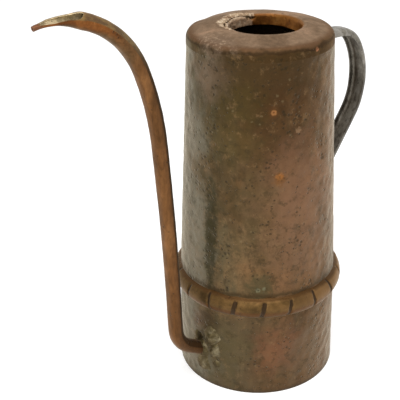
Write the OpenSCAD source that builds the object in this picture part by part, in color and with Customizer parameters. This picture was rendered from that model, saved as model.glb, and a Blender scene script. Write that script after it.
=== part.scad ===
// Tall hammered sheet-metal watering can with a thin crooked spout, a notched bead round the body,
// a gutter-section strap handle and a torn filling hole. Units are millimetres.
// Origin: centre of the underside. +Z is up, the spout points along -X and the handle along +X.

/* [Body] */
// Height of the can to the corner of its shoulder
can_h = 250; // [225:1:300]
// Outside radius of the body at the ground
base_r = 56.9; // [52:0.1:62]
// Outside radius of the body where its two walls meet
joint_r = 55.7; // [52:0.1:59]
// Outside radius that the upper wall tapers to, at the shoulder corner
top_r = 47.6; // [44:0.1:52]
// Height of the joint between the lower and the upper wall
joint_z = 71.5; // [60:0.5:86]
// Thickness of the body sheet
wall_t = 1.0; // [0.8:0.1:1.5]
// Length of the lap where one sheet slides inside the next
lap_h = 8; // [5:0.5:12]
// Height of the bottom's upturned flange
base_flange_h = 7; // [4:0.5:12]

/* [Top plate] */
// Radius of the rounded shoulder
shoulder_r = 5; // [3:0.5:7]
// How far the plate's rolled skirt reaches below the shoulder corner
skirt_h = 8; // [7.5:0.5:12]
// Rise of the plate from the shoulder to the land round the hole
dome_h = 3.0; // [1:0.1:4]
// Radius of the flat land round the hole
land_r = 30; // [28.5:0.5:33]
// Radius of the filling hole
hole_r = 23.7; // [20:0.1:24.5]
// Shift of the filling hole along X
hole_shift_x = 1.6; // [-2:0.1:2]
// Shift of the filling hole along Y
hole_shift_y = -2.8; // [-3.5:0.1:3.5]
// Outside bend radius of the hole's turned-down lip
lip_bend_r = 2.4; // [1.8:0.1:2.8]
// Depth of the lip below the land
lip_depth = 7.5; // [6:0.5:12]

/* [Torn edge] */
// Direction of the middle of the tear, from +X towards +Y
tear_dir = 100; // [80:1:120]
// Half of the angle that the tear spans
tear_half = 50; // [30:1:60]
// How far the tear reaches out from the lip at its middle
tear_reach = 6.5; // [3:0.5:7.5]
// Depth below the land that the torn sheet is crushed down to
tear_drop = 3.2; // [2.6:0.1:4]
// Size of the teeth on the torn edge
tear_ragged = 0.9; // [0:0.1:1.5]

/* [Notched bead] */
// Height of the half-round bead
bead_h = 16; // [12:0.5:20]
// How far the bead stands out from the wall
bead_out = 4.7; // [3.5:0.1:6.5]
// Thickness of the bead's sheet
bead_t = 1.4; // [1.2:0.1:1.8]
// Number of notches round the bead
notch_n = 19; // [6:1:30]
// Depth of a notch
notch_depth = 0.9; // [0.4:0.1:1.0]
// Width of a notch
notch_w = 2.6; // [1.5:0.1:4]
// Direction of the first notch
notch_first = 2; // [0:1:20]

/* [Spout] */
// Height at which the spout's axis meets the wall
spout_root_z = 26.8; // [22:0.1:34]
// Half depth of the spout tube, in the plane of its bends
spout_a = 5.1; // [4:0.1:7]
// Half width of the spout tube, across its bends
spout_b = 5.2; // [3.8:0.1:7]
// Thickness of the spout's sheet
spout_t = 0.9; // [0.6:0.1:1.2]
// Slope of the spout where it leaves the wall
root_slope = 31; // [20:1:40]
// Straight length of the spout from the wall to its elbow
root_len = 11.7; // [9:0.1:20]
// Bend radius of the elbow, to the spout's axis
elbow_r = 24; // [18:0.5:34]
// Slope of the spout above the elbow
stand_slope = 88.9; // [85:0.1:90]
// Length of the nearly straight riser
riser_len = 142; // [120:0.1:180]
// Angle that the riser sways outwards over its length
riser_sway = 3.9; // [0:0.1:8]
// Bend radius at the start of the crook
sway_r = 183; // [120:1:260]
// Angle turned at the start of the crook
sway_turn = 15.9; // [8:0.1:24]
// Bend radius of the crook
crook_r = 62.7; // [44:0.1:76]
// Angle turned by the crook
crook_turn = 50; // [30:0.1:60]
// Length of the opened pouring beak at the end of the spout
beak_len = 31; // [24:0.1:44]
// Angle turned by the beak over its length
beak_turn = 32; // [20:0.5:50]
// Length of the beak that stays as wide as the tube, before the beak narrows to its tip
leaf_len = 20; // [12:1:30]
// Half depth of the beak at its tip
tip_a = 1.7; // [1.3:0.1:2.5]
// Half width of the beak at its tip
tip_b = 1.7; // [1.4:0.1:3.5]
// Length of spout that reaches inside the wall
spout_inside = 4; // [2:0.5:8]
// Clearance between the spout and its hole in the wall
spout_fit = 0.3; // [0.1:0.1:0.6]

/* [Handle] */
// Width of the strap
strap_w = 13.7; // [9:0.1:17]
// Depth of the strap's gutter section
strap_d = 5; // [4:0.5:7]
// Thickness of the strap's sheet
strap_t = 1.0; // [0.8:0.1:1.4]
// Height at which the strap's outer face meets the wall
strap_top_z = 236.5; // [215:0.5:240]
// Fall of the strap where it leaves the wall
strap_fall = 3.2; // [0:0.1:10]
// Length of the strap's level stretch, from the wall
strap_reach = 27.3; // [20:0.1:40]
// Radius of the strap's upper bend
upper_bend_r = 28; // [20:1:36]
// Angle of the strap's upper bend
upper_bend = 55.6; // [45:0.1:65]
// Radius of the grip's bend
grip_bend_r = 54.8; // [40:0.1:64]
// Angle of the grip's bend
grip_bend = 39.6; // [30:0.1:45]
// Radius of the strap's lower bend
lower_bend_r = 44.7; // [30:0.1:54]
// Angle of the strap's lower bend
lower_bend = 28.8; // [24:0.1:36]

/* [Solder] */
// Size of the solder fillet round the spout's root
root_solder_r = 2.6; // [1.5:0.1:3.5]
// Radius of the largest lump of solder beside the root
lump_r = 6.5; // [5:0.5:8]
// Height of that lump above the wall
lump_h = 3; // [2:0.1:4]
// Size of the solder fillets at the handle's ends
strap_solder_r = 2.8; // [2:0.1:4]

/* [Hidden] */
$fn = 96;
eps = 0.01;
// Facets of a wall that solder and the strap are cut to
wall_fn = 720;
// Grid of the solder's surface
solder_step = 1.4;

wall_lean = atan((joint_r - top_r) / (can_h - joint_z));
skirt_z = can_h - skirt_h;
land_z = can_h + dome_h;
lap_top = joint_z + lap_h;

// Outside radius of the lower wall at height z
function lower_r(z) = base_r + (joint_r - base_r) * z / joint_z;
// Outside radius of the upper wall at height z
function upper_r(z) = joint_r + (top_r - joint_r) * (z - joint_z) / (can_h - joint_z);

// A path is a list of stations [distance out, height, heading]. A run is [length, turn, steps].
function advance(s, len, turn) =
    abs(turn) < eps
    ? [s.x + len * cos(s.z), s.y + len * sin(s.z), s.z]
    : let (h = s.z + turn, k = len / (turn * PI / 180))
        [s.x + k * (sin(h) - sin(s.z)), s.y + k * (cos(s.z) - cos(h)), h];
function walk(s, runs, i = 0) =
    i == len(runs)
    ? [s]
    : let (r = runs[i])
        concat([for (j = [0 : r[2] - 1]) advance(s, r[0] * j / r[2], r[1] * j / r[2])],
            walk(advance(s, r[0], r[1]), runs, i + 1));
function arc_len(r, turn) = r * abs(turn) * PI / 180;

// One coordinate of a squarish oval
function oval(half, c, power) = half * sign(c) * pow(abs(c), 2 / power);

// ---- body -------------------------------------------------------------------------------------

module lower_wall_blank() {
    rotate_extrude($fn = wall_fn)
        polygon([[0, 0], [base_r, 0], [joint_r, joint_z], [0, joint_z]]);
}

module upper_wall_blank() {
    rotate_extrude($fn = wall_fn)
        polygon([[0, joint_z], [joint_r, joint_z], [upper_r(can_h), can_h], [0, can_h]]);
}

// Line of the spout's axis through the wall, as a path station on the wall's outer face
spout_root = [lower_r(spout_root_z), spout_root_z, root_slope];

module along_root() {
    translate([-spout_root.x, 0, spout_root.y])
        rotate([0, -90 + root_slope, 0])
            children();
}

module lower_wall() color("saddlebrown") {
    neck_z = joint_z - wall_t;
    joggle_z = joint_z - 3 * wall_t;
    difference() {
        rotate_extrude()
            polygon([[base_r, 0], [joint_r, joint_z], [joint_r - wall_t, joint_z],
                [upper_r(lap_top) - wall_t, lap_top], [upper_r(lap_top) - 2 * wall_t, lap_top],
                [joint_r - 2 * wall_t, neck_z], [lower_r(joggle_z) - wall_t, joggle_z],
                [base_r - wall_t, 0]]);
        along_root()
            cylinder(r = max(spout_a, spout_b) + spout_fit, h = base_r / 2, center = true);
    }
}

module upper_wall() color("sienna") {
    rotate_extrude()
        polygon([[joint_r, joint_z], [upper_r(skirt_z), skirt_z],
            [upper_r(skirt_z) - wall_t, skirt_z], [joint_r - wall_t, joint_z]]);
}

module base_plate() color("saddlebrown") {
    inside = [lower_r(0) - wall_t, lower_r(base_flange_h) - wall_t];
    rotate_extrude()
        polygon([[0, 0], [inside[0], 0], [inside[1], base_flange_h],
            [inside[1] - wall_t, base_flange_h], [inside[1] - wall_t, wall_t], [0, wall_t]]);
}

// ---- top plate --------------------------------------------------------------------------------

arc_z = can_h - shoulder_r;
arc_x = upper_r(arc_z) - shoulder_r / cos(wall_lean);
dome_slope = atan(dome_h / (arc_x - land_r));
function shoulder_arc(r, steps) =
    [for (i = [0 : steps]) let (a = wall_lean + (90 - dome_slope - wall_lean) * i / steps)
        [arc_x + r * cos(a), arc_z + r * sin(a)]];

module at_hole(z) {
    translate([hole_shift_x, hole_shift_y, z]) children();
}

module torn_outline() {
    teeth = 22;
    function reach(i) = sin(180 * i / teeth) ^ 0.6;
    function tooth(i) = tear_ragged * (sin(i * 137) + 0.5 * sin(i * 71));
    outer = [for (i = [0 : teeth])
        let (a = tear_dir + tear_half * (2 * i / teeth - 1),
            r = hole_r + lip_bend_r + tear_reach * reach(i) + tooth(i) * reach(i))
        [r * cos(a), r * sin(a)]];
    inner = [for (i = [0 : 6])
        let (a = tear_dir + tear_half * (1 - 2 * i / 6), r = hole_r / 2)
        [r * cos(a), r * sin(a)]];
    polygon(concat(outer, inner));
}

// Sheet round the hole that is crushed down where the lip is torn
module crushed_ledge() {
    difference() {
        translate([0, 0, land_z - tear_drop - wall_t])
            linear_extrude(tear_drop + wall_t / 2) offset(r = wall_t) torn_outline();
        cylinder(r = hole_r + wall_t / 2, h = 2 * land_z);
    }
}

module top_plate() color("rosybrown") {
    steps = 8;
    lap_z = skirt_z - lap_h;
    difference() {
        union() {
            difference() {
                rotate_extrude()
                    polygon(concat(
                        [[upper_r(lap_z) - wall_t, lap_z], [upper_r(skirt_z) - wall_t, skirt_z],
                            [upper_r(skirt_z), skirt_z]],
                        shoulder_arc(shoulder_r, steps),
                        [[land_r, land_z], [0, land_z], [0, land_z - wall_t],
                            [land_r, land_z - wall_t]],
                        [for (i = [0 : steps]) shoulder_arc(shoulder_r - wall_t, steps)[steps - i]],
                        [[upper_r(skirt_z + 3 * wall_t) - wall_t, skirt_z + 3 * wall_t],
                            [upper_r(skirt_z) - 2 * wall_t, skirt_z + wall_t],
                            [upper_r(lap_z) - 2 * wall_t, lap_z]]));
                at_hole(land_z) cylinder(r = hole_r + lip_bend_r, h = 4 * wall_t, center = true);
            }
            at_hole(0) hole_lip();
            at_hole(0) crushed_ledge();
        }
        at_hole(land_z - tear_drop) linear_extrude(tear_drop + wall_t) torn_outline();
    }
}

module hole_lip() {
    steps = 6;
    function bend(r) = [for (i = [0 : steps]) let (a = 90 + 90 * i / steps)
        [hole_r + lip_bend_r + r * cos(a), land_z - lip_bend_r + r * sin(a)]];
    inner = bend(lip_bend_r - wall_t);
    rotate_extrude()
        polygon(concat(bend(lip_bend_r),
            [[hole_r, land_z - lip_depth], [hole_r + wall_t, land_z - lip_depth]],
            [for (i = [0 : steps]) inner[steps - i]]));
}

// ---- notched bead -----------------------------------------------------------------------------

// Radius of the bead's round section, and its centre's distance from the can's axis
bead_r = ((bead_h / 2) ^ 2 + bead_out ^ 2) / (2 * bead_out);
bead_x = joint_r + bead_out - bead_r;

module notch_cutter() {
    // a V-edged ring round the bead's section, on the ring's own axis
    rotate([90, 0, 0])
        rotate_extrude()
            polygon([[bead_r - notch_depth, 0], [bead_r + 1, -notch_w / 2 * (1 + 1 / notch_depth)],
                [bead_r + 1, notch_w / 2 * (1 + 1 / notch_depth)]]);
}

module notched_bead() color("peru") {
    lean = 5;
    difference() {
        translate([0, 0, joint_z])
            rotate_extrude()
                translate([bead_x, 0])
                    difference() {
                        circle(r = bead_r);
                        circle(r = bead_r - bead_t);
                    }
        lower_wall_blank();
        upper_wall_blank();
        for (i = [0 : notch_n - 1])
            rotate(notch_first + 360 * i / notch_n)
                translate([bead_x, 0, joint_z])
                    rotate([lean * sin(137 * i), 0, 0])
                        notch_cutter();
    }
}

// ---- spout ------------------------------------------------------------------------------------

beak_steps = 20;
spout_start = advance(spout_root, -spout_inside, 0);
tube_path = walk(spout_start, [
    [spout_inside + root_len, 0, 3],
    [arc_len(elbow_r, stand_slope - root_slope), stand_slope - root_slope, 8],
    [riser_len, -riser_sway, 6],
    [arc_len(sway_r, sway_turn), -sway_turn, 4],
    [arc_len(crook_r, crook_turn), -crook_turn, 7]]);
beak_start = tube_path[len(tube_path) - 1];
// A station's last value is how far along the beak it is, from 0 to 1
spout_stations = concat(
    [for (s = tube_path) [s, 0]],
    [for (i = [1 : beak_steps]) let (t = i / beak_steps)
        [advance(beak_start, beak_len * t, -beak_turn * t), t]]);

spout_sides = 18;
// Squareness of the tube's oval, where 2 is a plain ellipse
spout_power = 2.5;
// How far the crease is towards the seam, as a share of the half depth, and how flat the crown is
crease_share = 0.18;
crown_power = 3;
function beak_gap(t) = 78 * (1 - (1 - t) ^ 7);
function beak_half_a(t) = spout_a + (tip_a - spout_a) * min(1, t * beak_len / leaf_len) ^ 1.2;
function beak_half_b(t) =
    let (past = max(0, t * beak_len - leaf_len) / (beak_len - leaf_len))
        tip_b + (spout_b - tip_b) * (1 - past) ^ 2;

// A point of the tube's section, [towards the seam, across]. The seam's side is a low crown
// that meets the flanks in a crease.
function spout_section(half_a, half_b, phi) =
    let (v = oval(half_b, sin(phi), spout_power), crease = crease_share * half_a,
        crown = crease + (half_a - crease) * (1 - (abs(v) / half_b) ^ crown_power))
        [min(oval(half_a, cos(phi), spout_power), crown), v];

function spout_point(st, i, inset) =
    let (s = st[0], t = st[1], gap = beak_gap(t),
        phi = gap + (360 - 2 * gap) * i / spout_sides,
        q = spout_section(beak_half_a(t) - inset, beak_half_b(t) - inset, phi))
    [-(s.x - q.x * sin(s.z)), q.y, s.y + q.x * cos(s.z)];

module spout_tube() {
    n = spout_sides;
    m = n + 1;
    rings = len(spout_stations);
    closed = len(tube_path);
    outer_pts = [for (st = spout_stations) for (i = [0 : n]) spout_point(st, i, 0)];
    inner_pts = [for (st = spout_stations) for (i = [0 : n]) spout_point(st, i, spout_t)];
    // index of a point: on a closed ring the last point of the round is the first one
    function at(k, i) = k * m + (k < closed && i == n ? 0 : i);
    function in(k, i) = rings * m + at(k, i);
    color("sienna") polyhedron(
        points = concat(outer_pts, inner_pts),
        faces = concat(
            [for (k = [0 : rings - 2]) for (i = [0 : n - 1]) each [
                [at(k, i), at(k + 1, i + 1), at(k, i + 1)], [at(k, i), at(k + 1, i), at(k + 1, i + 1)],
                [in(k, i), in(k, i + 1), in(k + 1, i + 1)], [in(k, i), in(k + 1, i + 1), in(k + 1, i)]]],
            [for (i = [0 : n - 1]) each [
                [at(0, i), in(0, i + 1), in(0, i)], [at(0, i), at(0, i + 1), in(0, i + 1)]]],
            [for (i = [0 : n - 1]) let (k = rings - 1) each [
                [at(k, i), in(k, i), in(k, i + 1)], [at(k, i), in(k, i + 1), at(k, i + 1)]]],
            [for (k = [closed - 1 : rings - 2]) each [
                [at(k, 0), in(k + 1, 0), at(k + 1, 0)], [at(k, 0), in(k, 0), in(k + 1, 0)],
                [at(k, n), at(k + 1, n), in(k + 1, n)], [at(k, n), in(k + 1, n), in(k, n)]]]));
}

// ---- handle -----------------------------------------------------------------------------------

// Both ends run on until they are well inside the wall, and are cut to the wall
strap_spare = 2 * strap_d;
strap_start = advance([upper_r(strap_top_z), strap_top_z, -strap_fall], -strap_spare, 0);
strap_end = -(strap_fall + upper_bend + grip_bend + lower_bend);
strap_bends = walk(strap_start, [
    [strap_spare + strap_reach, 0, 3],
    [arc_len(upper_bend_r, upper_bend), -upper_bend, 8],
    [arc_len(grip_bend_r, grip_bend), -grip_bend, 6],
    [arc_len(lower_bend_r, lower_bend), -lower_bend, 5]]);
strap_low = strap_bends[len(strap_bends) - 1];
foot_len = (strap_low.x - joint_r + strap_spare) / -cos(strap_end);
strap_path = concat(strap_bends, [advance(strap_low, foot_len, 0)]);

strap_sides = 12;
// Squareness of the strap's arch, where 2 is a plain ellipse
strap_power = 3;
function strap_arch(inset) =
    [for (i = [0 : strap_sides]) let (a = 180 * i / strap_sides)
        [oval(strap_w / 2 - inset, cos(a), strap_power),
            oval(strap_d - inset, sin(a), strap_power) - strap_d]];
strap_hollow = strap_arch(strap_t);
strap_section = concat(strap_arch(0), [for (i = [0 : strap_sides]) strap_hollow[strap_sides - i]]);

module strap_blank(section) {
    n = len(section);
    rings = len(strap_path);
    polyhedron(
        points = [for (s = strap_path) for (q = section)
            [s.x - q.y * sin(s.z), q.x, s.y + q.y * cos(s.z)]],
        faces = concat(
            [for (k = [0 : rings - 2]) for (i = [0 : n - 1]) let (j = (i + 1) % n) each [
                [k * n + i, (k + 1) * n + j, k * n + j], [k * n + i, (k + 1) * n + i, (k + 1) * n + j]]],
            // each end is closed by a strip between point i and the point facing it
            [for (t = [0, (rings - 1) * n]) for (i = [0 : floor((n - 3) / 2)])
                for (f = [[i, i + 1, n - 1 - i], [i + 1, n - 2 - i, n - 1 - i]])
                    if (f[0] != f[1]) t == 0 ? f : [t + f[2], t + f[1], t + f[0]]]));
}

module handle_strap() color("dimgray") {
    difference() {
        strap_blank(strap_section);
        upper_wall_blank();
    }
}

// ---- solder -----------------------------------------------------------------------------------

// A lump is [across, up, radius, height] in mm on the wall, from the joint's own middle.
// The solder's surface stands above the wall by the highest lump, and dips below it elsewhere.
function swell(p, lumps) =
    max([for (m = lumps) m[3] * (1 - ((p.x - m.x) ^ 2 + (p.y - m.y) ^ 2) / m.z ^ 2)]);

// Solder run onto a wall whose outside radius is r_low at the pad's foot and r_high at its top.
// lo and hi are the pad's corners, [across, up], and across goes from -X towards -Y.
module solder_pad(mid_z, r_low, r_high, lo, hi, lumps) {
    sunk = 2;
    nx = round((hi.x - lo.x) / solder_step);
    ny = round((hi.y - lo.y) / solder_step);
    m = nx + 1;
    count = m * (ny + 1);
    function spot(i, j) = [lo.x + (hi.x - lo.x) * i / nx, lo.y + (hi.y - lo.y) * j / ny];
    function on_wall(q, up) =
        let (r = r_low + (r_high - r_low) * (q.y - lo.y) / (hi.y - lo.y) + up,
            a = q.x / r_low * 180 / PI)
        [-r * cos(a), -r * sin(a), mid_z + q.y];
    polyhedron(
        points = concat(
            [for (j = [0 : ny]) for (i = [0 : nx])
                on_wall(spot(i, j), max(swell(spot(i, j), lumps), -sunk / 2))],
            [for (j = [0 : ny]) for (i = [0 : nx]) on_wall(spot(i, j), -sunk)]),
        faces = concat(
            [for (j = [0 : ny - 1]) for (i = [0 : nx - 1]) let (k = j * m + i) each [
                [k, k + m + 1, k + 1], [k, k + m, k + m + 1],
                [count + k, count + k + 1, count + k + m + 1],
                [count + k, count + k + m + 1, count + k + m]]],
            [for (i = [0 : nx - 1]) let (k = i, t = ny * m + i) each [
                [k, count + k + 1, count + k], [k, k + 1, count + k + 1],
                [t, count + t, count + t + 1], [t, count + t + 1, t + 1]]],
            [for (j = [0 : ny - 1]) let (k = j * m, t = j * m + nx) each [
                [k, count + k, count + k + m], [k, count + k + m, k + m],
                [t, count + t + m, count + t], [t, t + m, count + t + m]]]));
}

// The spout's outside near the root, as a plain oval bar
module spout_core() {
    linear_extrude(3 * root_len, center = true)
        polygon([for (i = [0 : spout_sides - 1])
            spout_section(spout_a, spout_b, 360 * i / spout_sides)]);
}

module spout_solder() color("darkkhaki") {
    collar_r = spout_a / cos(root_slope) + root_solder_r;
    lo = [-14, -20];
    hi = [20, 24];
    difference() {
        solder_pad(spout_root_z, lower_r(spout_root_z + lo.y), lower_r(spout_root_z + hi.y), lo, hi, [
            [0, 0, collar_r, root_solder_r],
            // ridge above the spout
            [-2, 9, 4.5, 1.5],
            // big lump beside the root and its peak
            [11, 14, lump_r, lump_h],
            [11, 18.5, lump_r * 0.65, lump_h * 0.75],
            // long drip below it
            [14, 6, 3.6, 1.8],
            [14.3, 1.5, 4.4, 2.2],
            [15.4, -7.5, 3, 1.3],
            // thin smears under the spout
            [3, -12, 5.5, 0.7],
            [-7, -3, 4.5, 1.1]]);
        lower_wall_blank();
        along_root() spout_core();
    }
}

// Solder round one end of the strap, which covers the wall from mid_z - half_h to mid_z + half_h
module strap_solder(mid_z, half_h) {
    // how far the solder runs out past the strap's sides
    spread = 0.7 * strap_solder_r;
    side = strap_w / 2;
    lo = [-side - 2 * strap_solder_r, -half_h - 2 * strap_solder_r];
    hi = -lo;
    rotate(180)
        difference() {
            solder_pad(mid_z, upper_r(mid_z + lo.y), upper_r(mid_z + hi.y), lo, hi, [
                [0, 0, side + spread, strap_solder_r],
                [side, half_h / 2, strap_solder_r * 1.4, strap_solder_r * 0.6],
                [-side, half_h / 2, strap_solder_r * 1.5, strap_solder_r * 0.7],
                [side, -half_h / 2, strap_solder_r * 1.5, strap_solder_r * 0.5],
                [-side, -half_h / 2, strap_solder_r * 1.3, strap_solder_r * 0.6]]);
            upper_wall_blank();
            rotate(180) strap_blank(strap_arch(0));
        }
}

module handle_top_solder() color("gray") {
    strap_solder(strap_top_z - strap_d / 2, strap_d / 2);
}

// Angle between the straight foot and the wall, and the foot's length down to the wall
foot_angle = -strap_end - 90 + wall_lean;
foot_run = (strap_low.x - upper_r(strap_low.y)) * cos(wall_lean) / sin(foot_angle);
// Half of the height that the foot covers on the wall, and the middle of that height
foot_half = strap_d * cos(wall_lean) / sin(foot_angle) / 2;
foot_z = strap_low.y + foot_run * sin(strap_end) + foot_half;

module handle_foot_solder() color("gray") {
    strap_solder(foot_z, foot_half);
}

lower_wall();
upper_wall();
base_plate();
top_plate();
notched_bead();
spout_tube();
spout_solder();
handle_strap();
handle_top_solder();
handle_foot_solder();
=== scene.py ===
import math

import bmesh
import bpy
import numpy as np
from mathutils import Matrix, Vector, noise


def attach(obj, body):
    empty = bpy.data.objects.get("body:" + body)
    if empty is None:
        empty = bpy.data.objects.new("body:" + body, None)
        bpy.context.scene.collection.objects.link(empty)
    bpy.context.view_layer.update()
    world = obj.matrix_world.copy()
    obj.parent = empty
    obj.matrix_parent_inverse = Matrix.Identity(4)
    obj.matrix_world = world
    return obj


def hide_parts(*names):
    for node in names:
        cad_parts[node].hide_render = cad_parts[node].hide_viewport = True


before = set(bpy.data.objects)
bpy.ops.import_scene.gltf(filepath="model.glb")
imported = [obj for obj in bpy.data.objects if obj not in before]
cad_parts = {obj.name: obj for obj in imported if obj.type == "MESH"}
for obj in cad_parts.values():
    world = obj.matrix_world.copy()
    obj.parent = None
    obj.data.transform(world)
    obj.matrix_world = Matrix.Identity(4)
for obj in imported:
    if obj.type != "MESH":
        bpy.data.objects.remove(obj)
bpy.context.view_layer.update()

# ---- Bottom ---------------------------------------------------------------------------------
# The bottom is a disc of sheet copper with a low upturned flange, pushed up inside the lower
# wall and soldered there. It is dull brown, scuffed underneath by the shelves it has stood on.
MM = 0.001


def shade(red, green, blue):
    """A colour of 0 to 255 a channel, as Blender's linear colour."""
    return (*[c / 3294.6 if c <= 10 else ((c / 255 + 0.055) / 1.055) ** 2.4
              for c in (red, green, blue)], 1.0)


class Wire:
    """A node's output, which adds, multiplies and divides as a plain number does."""

    def __init__(self, socket):
        self.socket, self.tree = socket, socket.id_data

    def __add__(self, other):
        return calc("ADD", self, other)

    def __sub__(self, other):
        return calc("SUBTRACT", self, other)

    def __rsub__(self, other):
        return calc("SUBTRACT", other, self)

    def __mul__(self, other):
        return calc("MULTIPLY", self, other)

    def __truediv__(self, other):
        return calc("DIVIDE", self, other)

    def __rtruediv__(self, other):
        return calc("DIVIDE", other, self)

    __radd__, __rmul__ = __add__, __mul__


def feed(socket, value):
    """Links a socket to a wire, or gives it a plain value. A tint of three numbers, which
    run from 0 to 255, goes in as Blender's linear colour."""
    if isinstance(value, Wire):
        value.tree.links.new(value.socket, socket)
    elif socket.type == "RGBA" and len(value) == 3:
        socket.default_value = shade(*value)
    else:
        socket.default_value = value


def add(kind, settings=None, output=0, tree=None, **sockets):
    """A new node's output. Settings are the node's own properties, and a socket goes by its
    identifier or its name. The tree is the first wire's, unless one is given."""
    wires = [value for value in sockets.values() if isinstance(value, Wire)]
    made = (tree or wires[0].tree).nodes.new(kind)
    for name, value in (settings or {}).items():
        setattr(made, name, value)
    for name, value in sockets.items():
        same = [s for s in made.inputs if s.identifier == name]
        feed(same[0] if same else made.inputs[name.replace("_", " ")], value)
    return Wire(made.outputs[output])


def calc(operation, *values):
    """A sum on wires and numbers. It is a vector sum where any of them is a vector."""
    wires = [value for value in values if isinstance(value, Wire)]
    vectors = any(isinstance(value, tuple) for value in values) or any(
        wire.socket.type == "VECTOR" for wire in wires)
    made = wires[0].tree.nodes.new("ShaderNodeVectorMath" if vectors else "ShaderNodeMath")
    made.operation = operation
    for socket, value in zip(made.inputs, values):
        feed(socket, value)
    return Wire(made.outputs[1 if operation in ("LENGTH", "DOT_PRODUCT") else 0])


def part(vector, axis):
    return add("ShaderNodeSeparateXYZ", None, axis, Vector=vector)


def ramp(value, low, high, at_low=0.0, at_high=1.0):
    """A smooth step of value, from at_low to at_high."""
    return add("ShaderNodeMapRange", {"interpolation_type": "SMOOTHSTEP"}, Value=value,
               From_Min=low, From_Max=high, To_Min=at_low, To_Max=at_high)


def mixed(factor, first, second, blend="MIX"):
    return add("ShaderNodeMix", {"data_type": "RGBA", "blend_type": blend}, 2,
               Factor_Float=factor, A_Color=first, B_Color=second)


def grain(where, size, detail=4.0, rough=0.55, warp=0.0):
    """Cloudy noise, with patches about size metres across."""
    return add("ShaderNodeTexNoise", Vector=where, Scale=1.0 / size, Detail=detail,
               Roughness=rough, Distortion=warp)


FLOAT, INT, COLOR, VECTOR, GEOMETRY, MATERIAL = (
    "NodeSocket" + sort for sort in ("Float", "Int", "Color", "Vector", "Geometry", "Material"))
SORTS = {float: FLOAT, int: INT, tuple: VECTOR}


def new_group(name, kind, inputs, outputs):
    """A node group's inputs, as wires by their names, and its output node. An input is given
    as its first value, or as a sort of socket."""
    tree = bpy.data.node_groups.new(name, kind)
    for label, value in inputs.items():
        sort = SORTS.get(type(value), value)
        socket = tree.interface.new_socket(label, in_out="INPUT", socket_type=sort)
        if sort != value:
            socket.default_value = value
    for label, sort in outputs.items():
        tree.interface.new_socket(label, in_out="OUTPUT", socket_type=sort)
    given = tree.nodes.new("NodeGroupInput").outputs
    return {label: Wire(given[label]) for label in inputs}, tree.nodes.new("NodeGroupOutput")


def close_group(out, **results):
    """Feeds a group's outputs, and gives back the group."""
    for name, result in results.items():
        feed(out.inputs[name], result)
    return out.id_data


def tarnish_group():
    """Old copper: three tones in ragged patches, broken up by a fine mottle."""
    given, out = new_group(
        "tarnish", "ShaderNodeTree",
        {"Vector": VECTOR, "Patch Size": 0.03, "Dark": COLOR, "Middle": COLOR,
         "Bright": COLOR, "Mottle": 0.3},
        {"Color": COLOR, "Patches": FLOAT})
    where, size = given["Vector"], given["Patch Size"]
    patches = grain(where, size, 7.0, 0.62, 0.5)
    tone = mixed(ramp(patches, 0.36, 0.52), given["Dark"], given["Middle"])
    tone = mixed(ramp(patches, 0.5, 0.68), tone, given["Bright"])
    swing = given["Mottle"] * 1.5
    level = ramp(grain(where, size * 0.16, 5.0, 0.7, 0.3), 0.25, 0.75, 1.0 - swing, 1.0 + swing)
    level = add("ShaderNodeCombineColor", Red=level, Green=level, Blue=level)
    return close_group(out, Color=mixed(1.0, tone, level, "MULTIPLY"), Patches=patches)


def pits_group():
    """Corrosion pits: small dots that gather in some places and are missing in others."""
    given, out = new_group(
        "pits", "ShaderNodeTree", {"Vector": VECTOR, "Spacing": 0.004, "Amount": 0.5},
        {"Mask": FLOAT})
    where, spacing = given["Vector"], given["Spacing"]
    wander = add("ShaderNodeTexNoise", None, 1, Vector=where, Scale=500.0, Detail=3.0)
    dots = add("ShaderNodeTexVoronoi", None, "Distance", Scale=1.0 / spacing,
               Vector=where + wander * (0.0016, 0.0016, 0.0016))
    reach = ramp(grain(where, spacing * 6.0, 3.0), 0.35, 0.7) * given["Amount"] * 0.62
    return close_group(out, Mask=ramp(dots, reach, reach * 0.45))


def stain_group():
    """A stain or a bare spot with ragged edges, round a stated place on the surface."""
    given, out = new_group(
        "stain", "ShaderNodeTree",
        {"Vector": VECTOR, "Centre": VECTOR, "Radius": 0.01, "Stretch": (1.0, 1.0, 1.0),
         "Softness": 0.4, "Ragged": 0.6},
        {"Mask": FLOAT})
    where, radius, soft = given["Vector"], given["Radius"], given["Softness"]
    near = calc("LENGTH", (where - given["Centre"]) * given["Stretch"]) / radius
    wobble = grain(where, radius * 0.7, 5.0, 0.6) - 0.5
    return close_group(out, Mask=ramp(near + wobble * given["Ragged"] * 2.5, 1.0 + soft,
                                      1.0 - soft))


def streaks_group():
    """Faint upright runs, left by water and by rubbing along the sheet."""
    given, out = new_group(
        "streaks", "ShaderNodeTree", {"Vector": VECTOR, "Width": 0.004, "Flatten": 0.15},
        {"Mask": FLOAT})
    squeeze = add("ShaderNodeCombineXYZ", X=1.0, Y=1.0, Z=given["Flatten"])
    runs = grain(given["Vector"] * squeeze, given["Width"], 3.0, 0.6, 0.2)
    return close_group(out, Mask=ramp(runs, 0.42, 0.68))


TARNISH, PITS, STAIN, STREAKS = tarnish_group(), pits_group(), stain_group(), streaks_group()


def use(group, **sockets):
    """A shader group's outputs, as wires by their names."""
    first = add("ShaderNodeGroup", {"node_tree": group}, **sockets)
    return {made.name: Wire(made) for made in first.socket.node.outputs}


def tarnished(where, size, dark, middle, bright, mottle):
    """Old copper's colour, and its patches."""
    made = use(TARNISH, Vector=where, Patch_Size=size, Dark=dark, Middle=middle,
               Bright=bright, Mottle=mottle)
    return made["Color"], made["Patches"]


def masked(group, where, **sockets):
    return use(group, Vector=where, **sockets)["Mask"]


def pitted(where, spacing, amount):
    return masked(PITS, where, Spacing=spacing, Amount=amount)


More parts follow.
